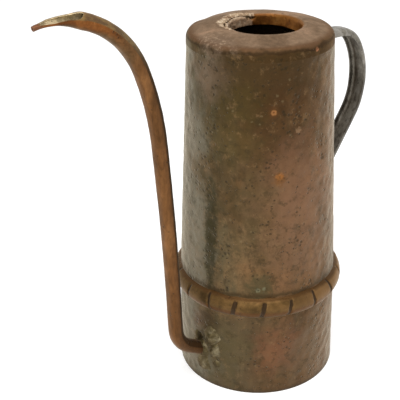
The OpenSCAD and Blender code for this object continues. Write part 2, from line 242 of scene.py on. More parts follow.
def new_finish(name):
    """An empty material, and its object coordinates."""
    material = bpy.data.materials.new(name)
    material.use_nodes = True
    material.node_tree.nodes.clear()
    return material, add("ShaderNodeTexCoord", None, "Object", material.node_tree)


def show(shader, kind="ShaderNodeOutputMaterial"):
    feed(shader.tree.nodes.new(kind).inputs["Surface"], shader)


def close_finish(colour, roughness, metallic, height, relief, bloom=0.0,
                 gloss=(243, 210, 170), shine=0.3):
    """The metal's shader. Height is a relief of 0 to 1, and relief is its depth in metres.
    Bloom is the greyish film that shows where the surface turns away, and gloss the tint of
    what the tarnish reflects."""
    bump = add("ShaderNodeBump", Height=height, Distance=relief, Strength=1.0)
    show(add("ShaderNodeBsdfPrincipled", Base_Color=colour, Roughness=roughness,
             Metallic=metallic, Normal=bump, Specular_IOR_Level=shine, Specular_Tint=gloss,
             Sheen_Weight=bloom, Sheen_Roughness=0.35, Sheen_Tint=(222, 218, 200)))


def dress(node, material):
    """Gives a CAD node that stays in view its finish."""
    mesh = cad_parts[node].data
    mesh.materials.clear()
    mesh.materials.append(material)


def bottom_finish():
    material, where = new_finish("scuffed_bottom")
    colour, _ = tarnished(where, 0.022, (58, 44, 32), (88, 66, 46), (122, 92, 66), 0.25)
    pits = pitted(where, 0.005, 0.9)
    colour = mixed(pits * 0.6, colour, (38, 30, 22))
    scuffs = grain(where * (1.0, 0.12, 1.0), 0.0012, 3.0)
    close_finish(colour, ramp(scuffs, 0.3, 0.7, 0.42, 0.6), 0.7, scuffs - pits, 0.0002)
    return material


dress("base_plate", bottom_finish())

# ---- Walls ----------------------------------------------------------------------------------
# Two tapered rings of sheet copper make the body: a low one, and a tall one that sits on it.
# Both are raised with a round-faced hammer, which leaves shallow facets all over the outside.
CAN_HEIGHT, JOINT_HEIGHT, SKIRT_HEIGHT = 250 * MM, 71.5 * MM, 242 * MM
BASE_RADIUS, JOINT_RADIUS, TOP_RADIUS = 56.9 * MM, 55.7 * MM, 47.6 * MM
SHEET = 1.0 * MM


def wall_radius(height):
    """Outside radius of the plain body, before the hammer marks."""
    if height < JOINT_HEIGHT:
        return BASE_RADIUS + (JOINT_RADIUS - BASE_RADIUS) * height / JOINT_HEIGHT
    rise = (height - JOINT_HEIGHT) / (CAN_HEIGHT - JOINT_HEIGHT)
    return JOINT_RADIUS + (TOP_RADIUS - JOINT_RADIUS) * rise


def on_wall(turn, height):
    """A point on the wall. Turn is in degrees, from the spout's side round to the front."""
    radius, turn = wall_radius(height), math.radians(turn)
    return (-radius * math.cos(turn), -radius * math.sin(turn), height)


def band_tree():
    """A cone-shaped band of faces, open at both ends, that faces away from its own rise."""
    given, out = new_group(
        "sheet_band", "GeometryNodeTree",
        {"Start Radius": FLOAT, "Start Height": FLOAT, "End Radius": FLOAT,
         "End Height": FLOAT, "Columns": 8, "Rows": 1}, {"Geometry": GEOMETRY})
    grid = add("GeometryNodeMeshGrid", Size_X=1.0, Size_Y=1.0,
               Vertices_X=given["Columns"] + 1.0, Vertices_Y=given["Rows"] + 1.0)
    spot = add("GeometryNodeInputPosition", tree=out.id_data)
    turn, rise = part(spot, "X") * (2 * math.pi), part(spot, "Y") + 0.5
    radius, height = (given["Start " + size] + rise * (given["End " + size]
                                                       - given["Start " + size])
                      for size in ("Radius", "Height"))
    place = add("ShaderNodeCombineXYZ", X=radius * calc("COSINE", turn),
                Y=radius * calc("SINE", turn), Z=height)
    return close_group(out, Geometry=add("GeometryNodeSetPosition", Geometry=grid,
                                         Position=place))


BAND = band_tree()


def add_band(columns, rows, start_radius, start_height, end_radius, end_height):
    return add("GeometryNodeGroup", {"node_tree": BAND}, Columns=columns, Rows=rows,
               Start_Radius=start_radius, Start_Height=start_height,
               End_Radius=end_radius, End_Height=end_height)


def outward(tree):
    """Each point's place, its level direction away from the can's axis, and its height."""
    spot = add("GeometryNodeInputPosition", tree=tree)
    return spot, calc("NORMALIZE", spot * (1.0, 1.0, 0.0)), part(spot, "Z")


def store(geometry, name, value):
    """Keeps a value on the mesh's points, for the metal's finish to read."""
    return add("GeometryNodeStoreNamedAttribute", {"data_type": "FLOAT", "domain": "POINT"},
               Geometry=geometry, Name=name, Value=value)


def stored(where, name):
    """A value that the mesh keeps on its points."""
    return add("ShaderNodeAttribute", {"attribute_name": name}, "Fac", where.tree)


def join_sheet(out, bands, material):
    """Joins the bands of one sheet into a closed shell with its material."""
    joined = out.id_data.nodes.new("GeometryNodeJoinGeometry")
    for band in bands:
        feed(joined.inputs[0], band)
    closed = add("GeometryNodeMergeByDistance", Geometry=Wire(joined.outputs[0]),
                 Distance=2e-6)
    solid = add("GeometryNodeRealizeInstances", Geometry=closed)
    return close_group(out, Geometry=add("GeometryNodeSetMaterial", Geometry=solid,
                                         Material=material))


def hammered_tree():
    """A ring of sheet whose outside carries hammer facets that fade out at both edges."""
    given, out = new_group(
        "hammered_wall", "GeometryNodeTree",
        {"Bottom Radius": FLOAT, "Bottom": FLOAT, "Top Radius": FLOAT, "Top": FLOAT,
         "Sheet": SHEET, "Columns": 340, "Rows": 100, "Facet Size": 0.008,
         "Facet Depth": 0.00055, "Waviness": 0.0003, "Seed": 1.0, "Metal": MATERIAL},
        {"Geometry": GEOMETRY})
    bottom, top, sheet = given["Bottom"], given["Top"], given["Sheet"]
    bottom_radius, top_radius = given["Bottom Radius"], given["Top Radius"]
    corners = [(bottom_radius, bottom), (top_radius, top), (top_radius - sheet, top),
               (bottom_radius - sheet, bottom)]
    rows = [given["Rows"], 1, 4, 1]
    bands = [add_band(given["Columns"], rows[i], *corners[i], *corners[(i + 1) % 4])
             for i in range(4)]
    spot, level, height = outward(out.id_data)
    shifted = spot + add("ShaderNodeCombineXYZ", X=given["Seed"])
    blows = add("ShaderNodeTexVoronoi", {"feature": "SMOOTH_F1"}, "Distance", Vector=shifted,
                Scale=1.0 / given["Facet Size"], Smoothness=0.12)
    hollow = ramp(blows, 0.75, 0.0)
    waves = given["Waviness"] * (grain(shifted, 0.045, 2.0) - 0.3)
    edge = calc("MINIMUM", top - height, height - bottom)
    sink = ramp(edge, 0.0, 0.004) * (waves + hollow * given["Facet Depth"])
    outer = add("GeometryNodeSetPosition", Geometry=bands[0], Offset=level * (sink * -1.0))
    outer = store(outer, "hollow", hollow)
    inner = store(bands[2], "inside", 1.0)
    return join_sheet(out, [outer, bands[1], inner, bands[3]], given["Metal"])


def grow(name, tree, **sizes):
    """Runs a geometry tree on an empty object and keeps the result as a plain mesh."""
    holder = bpy.data.objects.new(name, bpy.data.meshes.new(name))
    bpy.context.scene.collection.objects.link(holder)
    modifier = holder.modifiers.new("build", "NODES")
    modifier.node_group = tree
    identifiers = {s.name: s.identifier for s in tree.interface.items_tree
                   if s.in_out == "INPUT"}
    for label, value in sizes.items():
        modifier[identifiers[label.replace("_", " ")]] = value
    bpy.context.view_layer.update()
    seen = holder.evaluated_get(bpy.context.evaluated_depsgraph_get())
    mesh = bpy.data.meshes.new_from_object(seen)
    holder.modifiers.remove(modifier)
    holder.data = mesh
    mesh.name = name
    mesh.shade_smooth()
    mesh.set_sharp_from_angle(angle=math.radians(50))
    return holder


# [turn, height, radius, softness, raggedness, colour, strength]
STAINS = (
    (54, 218, 27, 0.8, 0.9, (58, 35, 14), 0.7),
    (60, 186, 15, 0.8, 0.9, (64, 43, 23), 0.45),
    (27, 221, 16, 0.8, 1.2, (66, 54, 22), 0.7),
    (7, 232, 13, 0.8, 1, (128, 106, 88), 0.5),
    (24, 190, 15, 0.8, 1.2, (82, 66, 33), 0.55),
    (36, 150, 14, 0.8, 1, (62, 54, 32), 0.45),
    (80, 158, 27, 0.8, 0.9, (130, 94, 70), 0.55),
    (84, 118, 26, 0.8, 0.9, (126, 94, 72), 0.5),
    (55.8, 210.5, 3.2, 0.6, 0.5, (84, 50, 22), 0.7),
    (55.8, 210.5, 1.8, 0.3, 0.4, (152, 104, 60), 0.8),
    (55.6, 210.7, 0.6, 0.3, 0.2, (90, 48, 24), 0.8),
    (60.7, 165.6, 3.8, 0.5, 0.8, (108, 68, 32), 0.7),
    (60.7, 167.6, 2.4, 0.4, 0.6, (146, 92, 44), 0.8),
    (92, 246, 1.4, 0.4, 0.3, (180, 120, 84), 0.9),
    (75, 197, 2, 0.3, 1.3, (136, 106, 78), 0.7),
    (47.5, 87.5, 9, 0.5, 0.9, (62, 60, 38), 0.7),
    (46, 85.5, 1.6, 0.3, 0.9, (118, 116, 90), 0.6),
    (50.5, 86.5, 1.2, 0.3, 0.9, (118, 116, 90), 0.6),
    (62, 36, 15, 0.7, 0.9, (122, 76, 52), 0.5),
    (88, 30, 20, 0.7, 0.9, (98, 80, 60), 0.5),
    (3.4, 51, 9, 0.5, 0.9, (84, 46, 22), 0.7),
    (10, 53, 8, 0.5, 1.2, (52, 36, 20), 0.75),
    (17, 30, 9, 0.6, 1.2, (56, 46, 28), 0.6),
    (33, 40, 13, 0.8, 1.2, (86, 74, 50), 0.5),
    (12, 34, 22, 0.6, 0.9, (78, 68, 42), 0.6))


def sideways(where):
    """From -1 on the spout's side of the front, by way of the front, to 1 on the handle's."""
    return calc("DOT_PRODUCT", where, (15.1, -13.1, 0.0))


def wall_tones_group():
    """The wall's tarnish, runs, stains, rubbed spots and painted light and shade, without its
    hidden inside.
    """
    given, out = new_group(
        "wall_tones", "ShaderNodeTree", {"Vector": VECTOR, "Hollow": 0.3},
        {"Color": COLOR, "Patches": FLOAT, "Pits": FLOAT})
    where, hollow = given["Vector"], given["Hollow"]
    height = part(where, "Z")
    upper, patches = tarnished(where, 0.028, (50, 38, 18), (66, 48, 23), (88, 62, 34), 0.2)
    lower, _ = tarnished(where, 0.026, (84, 66, 40), (104, 80, 52), (122, 90, 58), 0.2)
    cloud = grain(where, 0.05, 5.0, 0.6) - 0.5
    drift = height + cloud * 0.16
    colour = mixed(ramp(drift, 0.20, 0.10), upper, lower)
    colour = mixed(ramp(drift, 0.078, 0.060), colour, (84, 64, 42))
    # the side away from the spout has worn to a redder brown
    side = sideways(where) + cloud * 1.6
    redder, _ = tarnished(where, 0.024, (74, 48, 24), (100, 68, 40), (124, 86, 54), 0.2)
    worn = ramp(side, -0.1, 0.5, 0.0, 0.7) * ramp(height, 0.238, 0.195, 0.3, 1.0)
    colour = mixed(worn, colour, redder)

    def runs(place, width, flatten):
        return masked(STREAKS, place, Width=width, Flatten=flatten)

    # upright runs of dark tarnish, and of paler metal between them
    colour = mixed(runs(where, 0.012, 0.42) * 0.38, colour, (48, 38, 19))
    colour = mixed(runs(where + (0.3, 0.1, 0.2), 0.008, 0.3) * 0.22, colour,
                   (122, 98, 66))
    # olive bloom on the spout's side, in upright runs, thins out towards the back
    facing = calc("DOT_PRODUCT", where, (-13.1, -13.1, 0.0)) + cloud * 1.2
    thin = ramp(facing, -0.45, -0.05, 0.3, 1.0)
    olive = ramp(side, 0.1, -0.7) * (runs(where, 0.006, 0.2) * 0.35 + 0.35)
    colour = mixed(olive * thin, colour, (84, 80, 58))
    # pale grey towards the far edge on the spout's side: a painted reflection of the white
    # surroundings where the wall turns away
    colour = mixed(ramp(side, -0.66, -0.92, 0.0, 0.55) * thin, colour, (118, 116, 102))
    # painted highlight on the ridges between the hammer blows, painted shade in the hollows
    colour = mixed(ramp(hollow, 0.30, 0.0) * 0.06, colour, (126, 96, 66))
    colour = mixed(ramp(hollow, 0.5, 1.0) * 0.04, colour, (40, 32, 16))
    for turn, rise, radius, soft, ragged, tint, strength in STAINS:
        mask = masked(STAIN, where, Centre=on_wall(turn, rise * MM), Radius=radius * MM,
                      Softness=soft, Ragged=ragged)
        colour = mixed(mask * strength, colour, tint)
    # a jagged dark strip beside the spout: a painted reflection of the spout in the wall
    spout_reflection = masked(STAIN, where, Centre=on_wall(9.4, 122 * MM), Radius=0.0047,
                   Stretch=(1.0, 1.0, 0.11), Softness=0.32, Ragged=0.8)
    colour = mixed(spout_reflection * 0.85, colour, (46, 44, 24))
    # painted shade: the wall darkens up to the top plate's skirt, below the overhanging shoulder
    shade_below_shoulder = ramp(height, 0.215, 0.240, 0.0, 0.75) * ramp(side, 0.8, 0.2) \
        * ramp(side, -0.8, -0.3)
    colour = mixed(shade_below_shoulder, colour, (60, 43, 21))
    # pits, grime and rubbed spots lie over it all
    pits = pitted(where, 0.0030, 0.8)
    colour = mixed(pits * 0.65, colour, (36, 29, 15))
    grime = ramp(grain(where, 0.0055, 6.0, 0.78), 0.50, 0.64)
    colour = mixed(grime * 0.5, colour, (46, 38, 20))
    rubbed = ramp(grain(where + (0.5, 0.2, 0.7), 0.0065, 6.0, 0.78), 0.54, 0.68)
    colour = mixed(rubbed * 0.35, colour, (136, 106, 72))
    colour = mixed(pitted(where, 0.0055, 0.42) * 0.25, colour, (134, 118, 86))
    # dirt caught along the bead's upper edge, and painted shade at the foot, where the wall meets
    # its shadow on the floor
    rough_height = height + (grain(where, 0.012, 4.0) - 0.5) * 0.006
    above_bead = ramp(rough_height, 0.0785, 0.0800) * ramp(rough_height, 0.0840, 0.0805)
    colour = mixed(above_bead * 0.75, colour, (56, 42, 22))
    colour = mixed(ramp(rough_height, 0.004, 0.0, 0.0, 0.75), colour, (60, 50, 38))
    return close_group(out, Color=colour, Patches=patches, Pits=pits)


WALL_TONES = wall_tones_group()


def wall_finish():
    material, where = new_finish("hammered_copper")
    tones = use(WALL_TONES, Vector=where, Hollow=stored(where, "hollow"))
    # the inner skin is painted near black: painted shade for the dark inside of the can
    colour = mixed(stored(where, "inside"), tones["Color"], (22, 16, 10))
    skin = grain(where, 0.0028, 6.0, 0.7)
    close_finish(colour, ramp(tones["Patches"], 0.3, 0.7, 0.48, 0.38), 0.4,
                 skin - tones["Pits"] * 0.8, 0.0003, bloom=0.55)
    return material


HAMMERED = hammered_tree()
WALL_METAL = wall_finish()
for wall, foot, head, rows, seed in (("lower_wall", 0.0, JOINT_HEIGHT, 64, 3.0),
                                     ("upper_wall", JOINT_HEIGHT, SKIRT_HEIGHT, 150, 8.0)):
    ring = grow("hammered_" + wall, HAMMERED, Bottom_Radius=wall_radius(foot), Bottom=foot,
                Top_Radius=wall_radius(head), Top=head, Rows=rows, Seed=seed, Metal=WALL_METAL)
    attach(ring, "root")
    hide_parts(wall)

# ---- Top plate ------------------------------------------------------------------------------
# The top is one domed disc with a rounded shoulder and a rolled skirt round the wall's upper
# edge. Its filling hole is turned down in a soft lip, part of which is crushed and crusted.
SHOULDER_RADIUS, DOME_RISE, LAND_RADIUS = 5 * MM, 3 * MM, 30 * MM
HOLE_RADIUS, LIP_BEND, LIP_DEPTH = 23.7 * MM, 2.4 * MM, 7.5 * MM
HOLE_CENTRE = Vector((1.6 * MM, -2.8 * MM, 0))
LAND_HEIGHT = CAN_HEIGHT + DOME_RISE
PLATE_COLUMNS = 480


def crumple(point, size, seed=0.0):
    return noise.noise(Vector(point) / size + Vector((seed, 0, 0)))


def sheet_piece(name, points, faces, material, sharp=50, marks=None):
    """A mesh piece with its doubles merged, shaded smooth except at its sharp edges.
    Marks are values for its first points, which the finish reads by name. The rest have 1."""
    mesh = bpy.data.meshes.new(name)
    mesh.from_pydata([tuple(p) for p in points], [], faces)
    for label, values in (marks or {}).items():
        kept = mesh.attributes.new(label, "FLOAT", "POINT")
        kept.data.foreach_set("value", values + [1.0] * (len(points) - len(values)))
    shell = bmesh.new()
    shell.from_mesh(mesh)
    bmesh.ops.remove_doubles(shell, verts=shell.verts, dist=2e-6)
    bmesh.ops.dissolve_degenerate(shell, edges=shell.edges, dist=1e-7)
    shell.to_mesh(mesh)
    shell.free()
    mesh.materials.append(material)
    mesh.shade_smooth()
    mesh.set_sharp_from_angle(angle=math.radians(sharp))
    made = bpy.data.objects.new(name, mesh)
    bpy.context.scene.collection.objects.link(made)
    return made


def shell_faces(rows, columns, closed=False, open_row=0):
    """Faces of a sheet whose outer skin is a grid of points, row by row, and whose inner skin
    has the same grid after it. A closed sheet joins up at its sides, and the sides of any
    other one have a rim from the open row on."""
    count, last = rows * columns, (rows - 1) * columns
    across = [*range(columns)] + [0] * closed
    faces = []
    for row in range(0, last, columns):
        for a, b in zip(across, across[1:]):
            quad = [row + a, row + b, row + columns + b, row + columns + a]
            faces += [quad, [count + corner for corner in quad[::-1]]]
    rims = [(across, 1), ([last + i for i in across], -1)]
    if not closed:
        side = range(open_row * columns, count, columns)
        rims += [(side, -1), ([i + columns - 1 for i in side], 1)]
    for line, order in rims:
        faces += [[a, count + a, count + b, b][::order] for a, b in zip(line, line[1:])]
    return faces


def plate_profile():
    """Radius and height of the plate's outside, from its skirt to the edge of the land."""
    lean = math.atan((JOINT_RADIUS - TOP_RADIUS) / (CAN_HEIGHT - JOINT_HEIGHT))
    arc_height = CAN_HEIGHT - SHOULDER_RADIUS
    arc_radius = wall_radius(arc_height) - SHOULDER_RADIUS / math.cos(lean)
    slope = math.atan(DOME_RISE / (arc_radius - LAND_RADIUS))
    line = [(wall_radius(h), h) for h in np.linspace(SKIRT_HEIGHT, arc_height, 4)[:-1]]
    for turn in np.linspace(lean, math.pi / 2 - slope, 12):
        line.append((arc_radius + SHOULDER_RADIUS * math.cos(turn),
                     arc_height + SHOULDER_RADIUS * math.sin(turn)))
    start = line[-1]
    for way in np.linspace(0, 1, 14)[1:]:
        line.append((start[0] + (LAND_RADIUS - start[0]) * way,
                     start[1] + (LAND_HEIGHT - start[1]) * way))
    return line


def lip_point(turn, along):
    """A point on the land and lip, a distance along from the hole's bend. Below 0 it is flat."""
    around = Vector((math.cos(turn), math.sin(turn), 0))
    bend_length = LIP_BEND * math.pi / 2
    radius, drop = HOLE_RADIUS + LIP_BEND - along, 0.0
    if along > 0:
        angle = min(along, bend_length) / LIP_BEND
        radius = HOLE_RADIUS + LIP_BEND * (1 - math.sin(angle))
        drop = LIP_BEND * (1 - math.cos(angle)) + max(0.0, along - bend_length)
    return HOLE_CENTRE + around * radius + Vector((0, 0, LAND_HEIGHT - drop))


LIP_END = LIP_BEND * math.pi / 2 + LIP_DEPTH - LIP_BEND
# [direction, how far the crushed crust reaches out from the lip's bend] in degrees and mm
CRUST = ((58, -0.8), (68, -0.4), (75, 0.8), (82, 3.6), (90, 3.9), (96, 4.4), (108, 3.4),
         (120, 2.3), (128, 4.2), (136, 3.7), (144, 2.9), (157, 1.2), (171, -0.6), (182, -0.8))


def crushed(turn):
    """How far the sheet is crushed at this direction, from 0 to 1, and its crust's reach."""
    degrees = math.degrees(turn) % 360
    reach = float(np.interp(degrees, [c[0] for c in CRUST], [c[1] for c in CRUST]))
    ragged = 0.45 * math.sin(degrees * 0.9) + 0.35 * math.sin(degrees * 2.3 + 1) \
        + 0.25 * math.sin(degrees * 5.1)
    share = float(np.clip(min(degrees - CRUST[0][0], CRUST[-1][0] - degrees) / 12, 0, 1))
    return share, (reach + ragged * share) * MM


def plate_height_change(point):
    """Dents, hammer marks and scale on the plate, as a rise in metres."""
    x, y, _ = point
    turn = math.degrees(math.atan2(y, x)) % 360
    radius = math.hypot(x, y)
    rise = 0.35 * MM * crumple(point, 0.016) + 0.15 * MM * crumple(point, 0.006, 5)
    dent = math.exp(-((turn - 101) / 11) ** 2) * np.clip((radius - 0.036) / 0.012, 0, 1)
    scale = math.exp(-(((x + 0.040) / 0.007) ** 2 + ((y + 0.004) / 0.012) ** 2))
    rise += 0.5 * MM * scale * crumple(point, 0.0022, 9)
    return min(rise * 0.8 - 1.2 * MM * dent, 0.15 * MM)


def top_plate_mesh():
    profile = plate_profile()
    turns = [2 * math.pi * i / PLATE_COLUMNS for i in range(PLATE_COLUMNS)]
    flat_rows, lip_rows, first = 5, 56, -6.4 * MM
    outer, inner, crust, crevice = [], [], [], []
    for i, (radius, height) in enumerate(profile):
        before, after = profile[max(i - 1, 0)], profile[min(i + 1, len(profile) - 1)]
        run = Vector((after[0] - before[0], after[1] - before[1])).normalized()
        for turn in turns:
            around = Vector((math.cos(turn), math.sin(turn), 0))
            outer.append(around * radius + Vector((0, 0, height)))
            inner.append(around * (radius - run.y * SHEET) + Vector((0, 0, height + run.x * SHEET)))
    land = outer[-PLATE_COLUMNS:]
    crust += [0.0] * len(outer)
    crevice += [0.0] * len(outer)
    for row in range(1, flat_rows + lip_rows):
        for turn, start in zip(turns, land):
            share, reach = crushed(turn)
            near = min(-1.0 * MM, first * share)
            if row <= flat_rows:
                point, along = start.lerp(lip_point(turn, near), row / flat_rows), near
            else:
                along = near + (LIP_END - near) * (row - flat_rows) / (lip_rows - 1)
                point = lip_point(turn, along)
            angle = float(np.clip(along / LIP_BEND, 0, math.pi / 2))
            away = Vector((math.cos(turn), math.sin(turn), 0))
            down = away * math.sin(angle) - Vector((0, 0, 1)) * math.cos(angle)
            # the crust is a raised ragged ridge, with a split behind it where the sheet sank
            behind = along + reach if row >= flat_rows else -9.0 * MM
            rough = crumple(point, 0.0035, 3) + 0.6 * crumple(point, 0.0014, 7)
            ridge = share * math.exp(-((behind - 0.5 * MM) / (1.5 * MM)) ** 2)
            split = share * math.exp(-((behind - (3.4 + 1.2 * rough) * MM) / (1.0 * MM)) ** 2)
            loose = share * float(np.clip(behind / (2 * MM), 0, 1))
            up = ridge * (0.35 + 0.55 * rough) * MM - split * 1.7 * MM \
                + loose * (0.5 * rough - 0.7) * MM * math.cos(angle)
            # the lip is pushed in on the handle's side, as if by a hose
            pushed = math.exp(-((math.degrees(turn - 6.1) + 180) % 360 - 180) ** 2 / 1100) \
                * max(0.0, along - LIP_BEND) / LIP_END * 3.2 * MM
            point = point - away * pushed - down * min(up, 0.55 * MM) \
                - away * loose * math.sin(angle) * (0.35 + 0.5 * rough) * MM
            outer.append(point)
            inner.append(point + down * SHEET)
            crust.append(min(1.0, ridge * 1.1 + 0.75 * loose * (1 - split)))
            crevice.append(min(1.0, split * 1.3))
    points = []
    for skin in (outer, inner):
        for i, point in enumerate(skin):
            rise = plate_height_change(outer[i]) if point.z > SKIRT_HEIGHT + 4 * MM else 0.0
            points.append(point + Vector((0, 0, rise)))
    faces = shell_faces(len(outer) // PLATE_COLUMNS, PLATE_COLUMNS, closed=True)
    return points, faces, {"crust": crust * 2, "crevice": crevice * 2}


def plate_finish():
    material, where = new_finish("weathered_plate")
    colour, _ = tarnished(where, 0.02, (98, 78, 60), (120, 98, 78), (138, 112, 90), 0.18)
    height, level = part(where, "Z"), (1.0, 1.0, 0.0)
    # the skirt has the wall's tones, up to a wavy line on the shoulder
    wavy = height + (grain(where, 0.014, 3.0) - 0.5) * 0.007
    warm = ramp(calc("LENGTH", where * level), 0.0405, 0.0458)
    colour = mixed(warm * 0.85, colour, (80, 53, 31))
    colour = mixed(ramp(wavy, 0.2496, 0.2468), colour, use(WALL_TONES, Vector=where)["Color"])
    # painted shade: a thin dark line under the edge that was beaten down over the wall
    crimp_shade = ramp(wavy, 0.2460, 0.2469) * ramp(wavy, 0.2486, 0.2475)
    colour = mixed(crimp_shade * 0.6, colour, (38, 24, 12))
    pits = pitted(where, 0.0034, 0.6)
    colour = mixed(pits * 0.5, colour, (88, 72, 58))
    # inside of the lip: warm rubbed copper, golden near its rim
    from_hole = calc("LENGTH", (where - tuple(HOLE_CENTRE)) * level)
    lip = ramp(from_hole, 0.0254, 0.0246) * ramp(height, 0.2534, 0.2519)
    lip_tone, _ = tarnished(where, 0.012, (90, 52, 18), (118, 74, 30), (146, 102, 52), 0.12)
    colour = mixed(lip, colour, lip_tone)
    # crusted scale on the crushed part of the lip, and a rough patch beside it
    crumbs = grain(where, 0.0022, 5.0, 0.7)
    crust, _ = tarnished(where, 0.003, (112, 88, 66), (160, 136, 110), (206, 188, 162), 0.26)
    # the sheet below the crust is browner, down to the lip's lower edge
    crust = mixed(ramp(height, 0.2522, 0.2505, 0.0, 0.65), crust, (124, 96, 72))
    bare = ramp(stored(where, "crust") + crumbs * 0.5, 0.62, 0.82)
    colour = mixed(bare, colour, crust)
    # the split behind the crust is painted dark: painted shade in the crevice
    cracked = ramp(stored(where, "crevice") + crumbs * 0.5, 0.6, 0.95)
    colour = mixed(cracked, colour, (58, 42, 24))
    patch = masked(STAIN, where, Centre=(-0.0405, -0.004, 0.2515), Radius=0.009,
                   Stretch=(1.2, 0.7, 1.0), Softness=0.6, Ragged=1.2)
    colour = mixed(patch * 0.5, colour, (112, 92, 76))
    colour = mixed(patch * ramp(crumbs, 0.5, 0.62) * 0.5, colour, (172, 148, 122))
    relief = grain(where, 0.0025, 5.0, 0.65) + crumbs * (bare + patch) - pits
    close_finish(colour, 0.55 - lip * 0.2, 0.5 - bare * 0.5, relief, 0.0002)
    return material


points, faces, marks = top_plate_mesh()
top_plate = sheet_piece("crushed_top_plate", points, faces, plate_finish(), sharp=60, marks=marks)
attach(top_plate, "root")
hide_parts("top_plate")

# ---- Notched bead ---------------------------------------------------------------------------
# A half-round bead of thicker copper covers the joint of the two walls. Its maker chased
# nineteen short notches across it with a chisel, none of them quite alike.
BEAD_HEIGHT, BEAD_OUT, BEAD_SUNK, NOTCHES = 16 * MM, 4.7 * MM, 0.7 * MM, 19
BEAD_SECTION = ((BEAD_HEIGHT / 2) ** 2 + BEAD_OUT ** 2) / (2 * BEAD_OUT)


def bead_tree():
    given, out = new_group(
        "notched_bead", "GeometryNodeTree",
        {"Wall Radius": JOINT_RADIUS, "Middle": JOINT_HEIGHT, "Height": BEAD_HEIGHT,
         "Stand Out": BEAD_OUT, "Section Radius": BEAD_SECTION, "Notches": NOTCHES,
         "First Notch": 2.0, "Notch Width": 0.0036, "Notch Depth": 0.001, "Columns": 900,
         "Rows": 30, "Seed": 2.0, "Metal": MATERIAL},
        {"Geometry": GEOMETRY})
    half, middle, section = given["Height"] * 0.5, given["Middle"], given["Section Radius"]
    low, high, hidden = middle - half, middle + half, given["Wall Radius"] - BEAD_SUNK
    front = add_band(given["Columns"], given["Rows"], hidden, low, hidden, high)
    back = add_band(given["Columns"], 1, hidden, high, hidden, low)
    spot, level, height = outward(out.id_data)
    rise = height - middle
    bulge = calc("SQRT", calc("MAXIMUM", 0.0, section * section - rise * rise))
    stand = bulge - section + given["Stand Out"]
    turn = calc("ARCTAN2", part(spot, "Y"), part(spot, "X")) * (180 / math.pi)
    pitch = 360.0 / given["Notches"]
    cell = (turn - given["First Notch"]) / pitch
    number = calc("ROUND", cell)
    # the count starts again at the back, where the last notch and the first are one
    seat = add("ShaderNodeCombineXYZ", X=calc("FLOORED_MODULO", number, given["Notches"]),
               Y=given["Seed"])
    luck = add("ShaderNodeTexWhiteNoise", {"noise_dimensions": "2D"}, "Color", Vector=seat)
    lean, shift, spread = (part(luck, axis) for axis in "XYZ")
    around = pitch * ((JOINT_RADIUS + BEAD_OUT) * math.pi / 180)
    aside = (cell - number) * around + rise * ramp(lean, 0.0, 1.0, -0.22, 0.22) \
        + (shift - 0.5) * 0.0012 + (grain(spot, 0.005, 3.0) - 0.5) * 0.0016
    wide = given["Notch Width"] * ramp(spread, 0, 1, 0.42, 0.6)
    reach = ramp(calc("ABSOLUTE", rise - (lean - 0.5) * 0.002), 0.0078, 0.0052)
    groove = ramp(calc("ABSOLUTE", aside), wide, wide * 0.35) * reach
    dents = (grain(spot, 0.012, 3.0) - 0.4) * 0.0007
    edge = ramp(half - calc("ABSOLUTE", rise), 0.0, 0.002)
    stand = stand - edge * calc("MAXIMUM", 0.0, dents) - groove * given["Notch Depth"]
    pushed = add("GeometryNodeSetPosition", Geometry=front,
                 Offset=level * (edge * (stand + BEAD_SUNK)))
    return join_sheet(out, [store(pushed, "notch", groove), back], given["Metal"])


def bead_finish():
    material, where = new_finish("rubbed_bead")
    colour, patches = tarnished(where, 0.014, (66, 48, 24), (88, 65, 34), (106, 78, 44), 0.14)
    level = part(where, "Z") + (grain(where, 0.01, 3.0) - 0.5) * 0.0016
    colour = mixed(ramp(sideways(where), 0.2, 0.9, 0.0, 0.6), colour, (128, 94, 58))
    # an orange-brown line runs below the bead's crest, and the underside is grey
    line = ramp(level, 0.0655, 0.0672) * ramp(level, 0.0712, 0.0692)
    colour = mixed(line * 0.8, colour, (84, 50, 20))
    colour = mixed(ramp(level, 0.0668, 0.0652), colour, (84, 68, 46))
    # the bead's lower edge is painted dark: painted shade where it faces down
    colour = mixed(ramp(level, 0.0650, 0.0640), colour, (40, 30, 20))
    colour = mixed(ramp(level, 0.0770, 0.0785), colour, (70, 46, 20))
    colour = mixed(ramp(stored(where, "notch"), 0.3, 0.75, 0.0, 0.9), colour,
                   (40, 28, 18))
    pits = pitted(where, 0.003, 0.6)
    colour = mixed(pits * 0.5, colour, (66, 46, 26))
    close_finish(colour, ramp(patches, 0.3, 0.7, 0.46, 0.36), 0.45,
                 grain(where, 0.002, 4.0, 0.6) - pits, 0.00015, bloom=0.3)
    return material


bead = grow("chased_bead", bead_tree(), Metal=bead_finish())
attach(bead, "root")
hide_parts("notched_bead")

# ---- Spout ----------------------------------------------------------------------------------
# The spout is a thin squarish tube, rolled from one strip with its seam on the side that faces
# the can. Past its crook the seam opens into a trough, which is drawn out to a drooping beak.
SPOUT_DEEP, SPOUT_WIDE, SPOUT_SHEET = 5.1, 5.2, 0.9
ROOT_HEIGHT, ROOT_SLOPE, BEAK_LENGTH, BEAK_TURN = 26.8, 31, 30.75, 32
TIP_DEEP, TIP_WIDE, LEAF = 1.7, 1.7, 20
# [part of the beak, degrees that the seam has opened on the far flank, and on the near one]
GAPS = ((0, 0, 0), (0.04, 14, 30), (0.1, 29, 62), (0.2, 46, 72), (0.4, 53, 73), (0.6, 62, 80),
        (0.75, 56, 80), (0.86, 44, 56), (0.94, 22, 26), (1, 12, 12))


